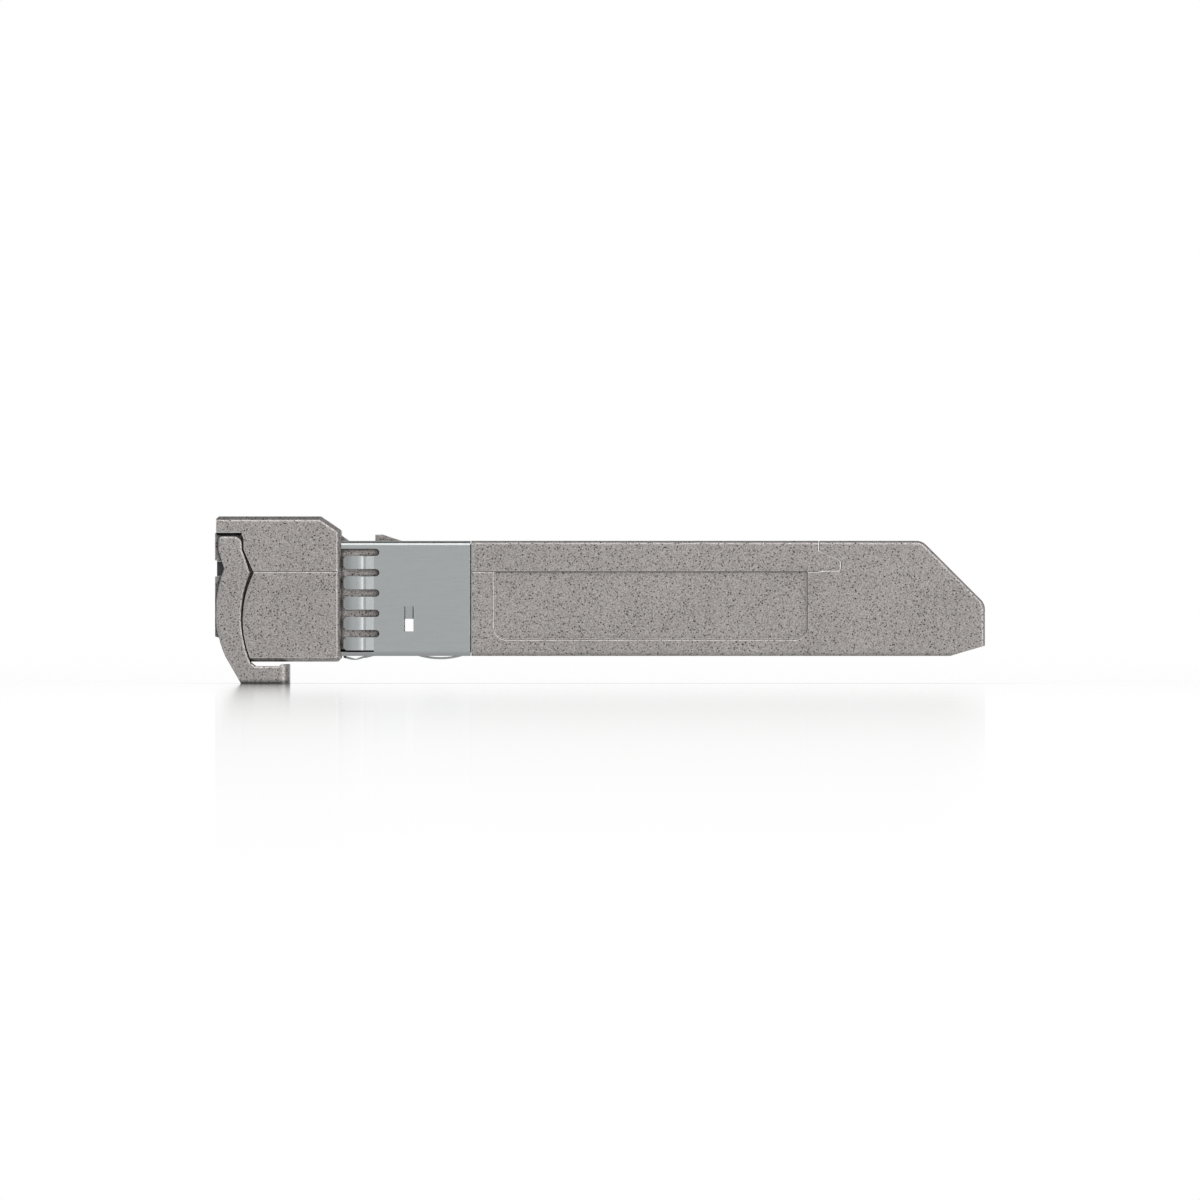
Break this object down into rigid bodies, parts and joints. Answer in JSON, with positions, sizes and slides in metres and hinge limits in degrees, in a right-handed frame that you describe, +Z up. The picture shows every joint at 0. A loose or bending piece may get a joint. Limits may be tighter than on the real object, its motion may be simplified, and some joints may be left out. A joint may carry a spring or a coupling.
{
  "type": "sfp plus transceiver",
  "caption": "Pluggable optical transceiver module with a die-cast shell, spring collar, two fibre ports and a bail lever that works a latch.",
  "frame": {"origin": "middle of the footprint, level with the underside of the closed lever's tab", "axes": "+X from the nose to the card edge, +Y across the width, +Z up towards the latch boss"},
  "size_m": [0.0568, 0.014, 0.0123],
  "materials": {
    "zinc_casting": "satin, speckled as cast",
    "spring_steel": "satin",
    "steel": "satin",
    "port_plastic": "matte",
    "ceramic": "smooth",
    "gold_can": "plated",
    "flex_film": "satin",
    "board": "solder resist",
    "chip_black": "matte",
    "capacitor_ceramic": "matte",
    "thermal_rubber": "matte"
  },
  "bodies": {
    "housing": {"main_casting": "zinc_casting", "latch_side_casting": "zinc_casting", "emi_collar": "spring_steel", "latch_leaf_spring": "spring_steel", "rocker_pin": "steel", "cover_screws": "steel", "laser_barrel": "steel", "receiver_barrel": "steel", "optics_clamp": "steel", "port_block": "port_plastic", "laser_sleeve": "ceramic", "receiver_sleeve": "ceramic", "laser_can": "gold_can", "receiver_can": "gold_can", "edge_contacts": "gold_can", "laser_flex": "flex_film", "receiver_flex": "flex_film", "circuit_board": "board", "laser_driver_chip": "chip_black", "receiver_amplifier_chip": "chip_black", "microcontroller_chip": "chip_black", "memory_chip": "chip_black", "resistors": "chip_black", "inductors": "chip_black", "capacitors": "capacitor_ceramic", "thermal_pads": "thermal_rubber", "absorber_pad": "thermal_rubber"},
    "lever": {"bail_lever": "zinc_casting", "lever_shaft": "steel", "latch_cam": "steel"},
    "latch": {"latch_rocker": "zinc_casting"}
  },
  "joints": [
    {"name": "lever_hinge", "type": "hinge", "parent": "housing", "child": "lever", "pos_m": [-0.02734, 0, 0.00996], "axis": [0, 1, 0], "range_deg": [0, 90]},
    {"name": "latch_rock", "type": "hinge", "parent": "housing", "child": "latch", "pos_m": [-0.0222, 0, 0.01086], "axis": [0, 1, 0], "range_deg": [0, 5], "deforming": ["latch_leaf_spring"]}
  ],
  "couplings": [
    {"joint": "latch_rock", "follows": "lever_hinge", "ratio": 0.055556}
  ]
}
